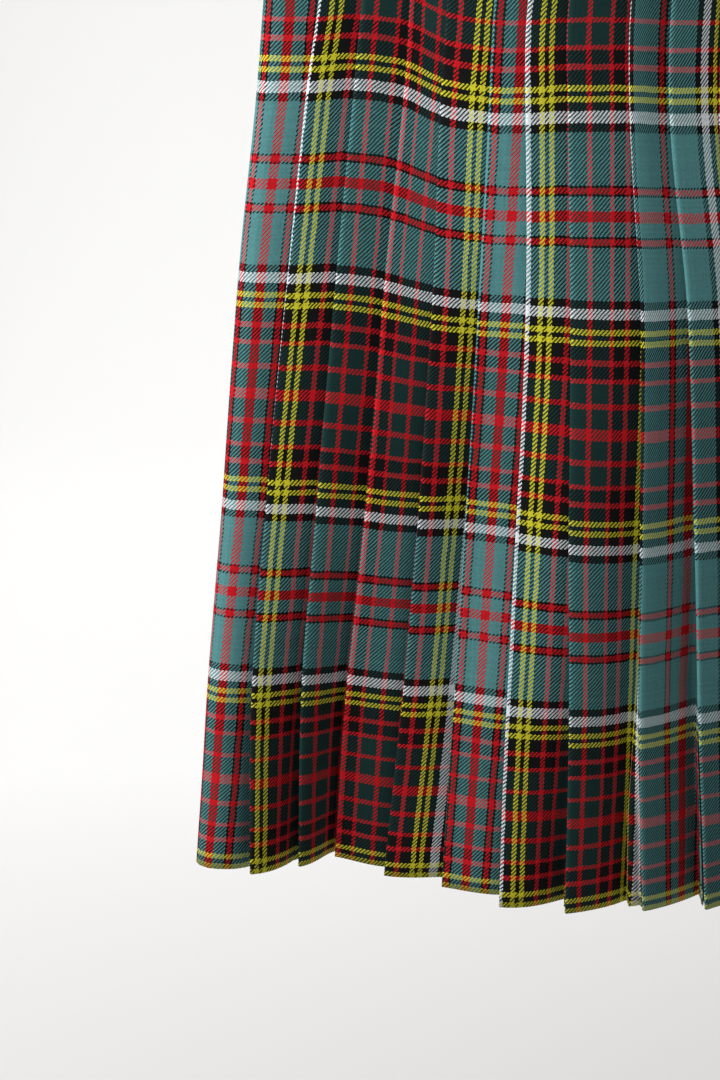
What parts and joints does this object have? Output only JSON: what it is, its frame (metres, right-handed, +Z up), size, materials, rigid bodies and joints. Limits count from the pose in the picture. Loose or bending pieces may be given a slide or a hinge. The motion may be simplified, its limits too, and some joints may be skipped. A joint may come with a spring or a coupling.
{
  "type": "pleated midi skirt",
  "caption": "Knee-covering wool skirt of knife pleats in a tartan check, with a straight waistband that laps over itself and fastens with a button.",
  "frame": {"origin": "middle of the waist, at the height of the top of the waistband at the side edges", "axes": "+Z up along the skirt, +X to the viewer's right and the wearer's left, +Y to the wearer's back; the front looks along -Y"},
  "size_m": [0.5171, 0.1091, 0.7311],
  "materials": {
    "tartan_wool": "matte wool twill, tartan check of light blue, dark green, black, red, yellow and white",
    "band_wool": "matte wool twill, the same tartan check, doubled",
    "button": "semi-gloss, dark blue-green"
  },
  "bodies": {
    "root": {"front": "tartan_wool", "back": "tartan_wool", "waistband": "band_wool", "waist_button": "button"}
  },
  "joints": []
}
